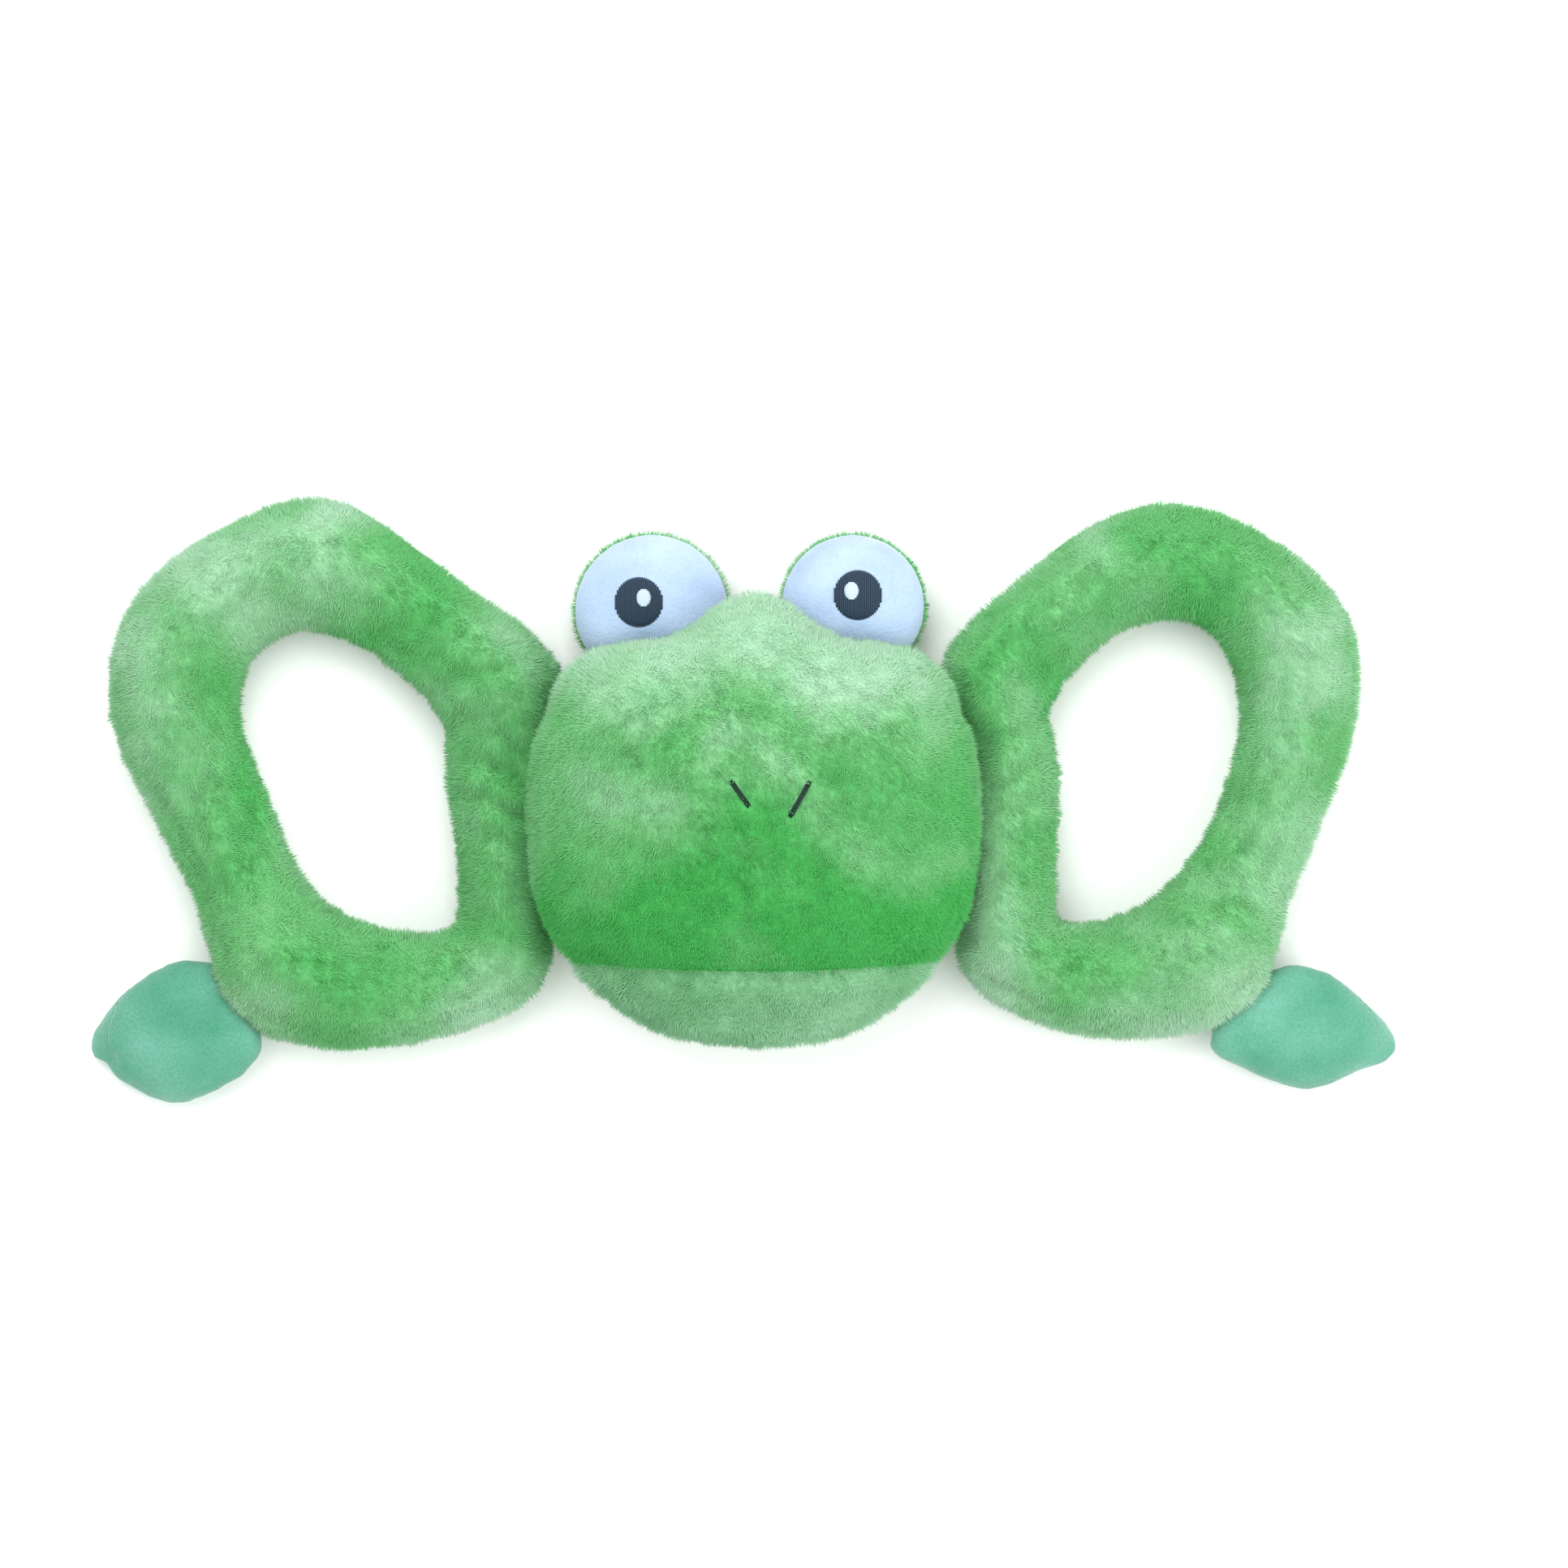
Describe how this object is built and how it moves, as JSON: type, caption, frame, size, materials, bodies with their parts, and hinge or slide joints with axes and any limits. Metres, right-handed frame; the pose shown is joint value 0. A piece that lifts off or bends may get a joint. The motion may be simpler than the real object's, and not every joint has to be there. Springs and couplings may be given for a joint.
{
  "type": "plush frog tug toy",
  "caption": "Stuffed plush frog head between closed stuffed hand loops, with small stuffed feet, for tug play; it lies flat on its back.",
  "frame": {"origin": "middle of the flattened back of the head, on the plane that the toy lies on", "axes": "X runs across the toy from one hand loop to the other, Y runs from the chin towards the eyes, Z comes out of the face"},
  "size_m": [0.4313, 0.2004, 0.0799],
  "materials": {
    "green_plush": "matte",
    "chin_plush": "matte",
    "eye_cloth": "matte",
    "aqua_velour": "satin",
    "dark_thread": "satin",
    "white_thread": "satin",
    "green_thread": "matte",
    "fibrefill": "matte",
    "squeaker_plastic": "satin"
  },
  "bodies": {
    "head": {"head_face_panel": "green_plush", "head_chin_panel": "chin_plush", "head_back_panel": "green_plush", "head_stuffing": "fibrefill", "squeaker_bladder": "squeaker_plastic", "squeaker_reed": "squeaker_plastic", "left_nostril_stitch": "dark_thread", "right_nostril_stitch": "dark_thread", "head_closing_stitch": "green_thread"},
    "left_eye": {"left_eye_front_panel": "eye_cloth", "left_eye_back_panel": "green_plush", "left_eye_stuffing": "fibrefill", "left_eye_pupil": "dark_thread", "left_eye_glint": "white_thread"},
    "left_loop": {"left_loop_front_panel": "green_plush", "left_loop_back_panel": "green_plush", "left_loop_stuffing": "fibrefill", "left_loop_closing_stitch": "green_thread"},
    "left_foot": {"left_foot_upper_panel": "aqua_velour", "left_foot_sole_panel": "aqua_velour", "left_foot_stuffing": "fibrefill"},
    "right_eye": {"right_eye_front_panel": "eye_cloth", "right_eye_back_panel": "green_plush", "right_eye_stuffing": "fibrefill", "right_eye_pupil": "dark_thread", "right_eye_glint": "white_thread"},
    "right_loop": {"right_loop_front_panel": "green_plush", "right_loop_back_panel": "green_plush", "right_loop_stuffing": "fibrefill", "right_loop_closing_stitch": "green_thread"},
    "right_foot": {"right_foot_upper_panel": "aqua_velour", "right_foot_sole_panel": "aqua_velour", "right_foot_stuffing": "fibrefill"}
  },
  "joints": [
    {"name": "left_loop_fold", "type": "hinge", "parent": "head", "child": "left_loop", "pos_m": [-0.08295, 0, 0.019], "axis": [0, 1, 0], "range_deg": [-60, 75], "stiffness_Nm_per_rad": 0.06},
    {"name": "left_foot_flap", "type": "hinge", "parent": "left_loop", "child": "left_foot", "pos_m": [-0.17259, -0.06797, 0.019], "axis": [-0.4695, 0.8829, 0], "range_deg": [-20, 40], "stiffness_Nm_per_rad": 0.03},
    {"name": "left_eye_tilt", "type": "hinge", "parent": "head", "child": "left_eye", "pos_m": [-0.0335, 0.0513, 0.019], "axis": [1, 0, 0], "range_deg": [-25, 8], "stiffness_Nm_per_rad": 0.03},
    {"name": "right_loop_fold", "type": "hinge", "parent": "head", "child": "right_loop", "pos_m": [0.08239, 0, 0.019], "axis": [0, -1, 0], "range_deg": [-60, 75], "stiffness_Nm_per_rad": 0.06},
    {"name": "right_foot_flap", "type": "hinge", "parent": "right_loop", "child": "right_foot", "pos_m": [0.16432, -0.06566, 0.019], "axis": [-0.682, -0.7314, 0], "range_deg": [-20, 40], "stiffness_Nm_per_rad": 0.03},
    {"name": "right_eye_tilt", "type": "hinge", "parent": "head", "child": "right_eye", "pos_m": [0.0325, 0.0513, 0.019], "axis": [1, 0, 0], "range_deg": [-25, 8], "stiffness_Nm_per_rad": 0.03}
  ]
}
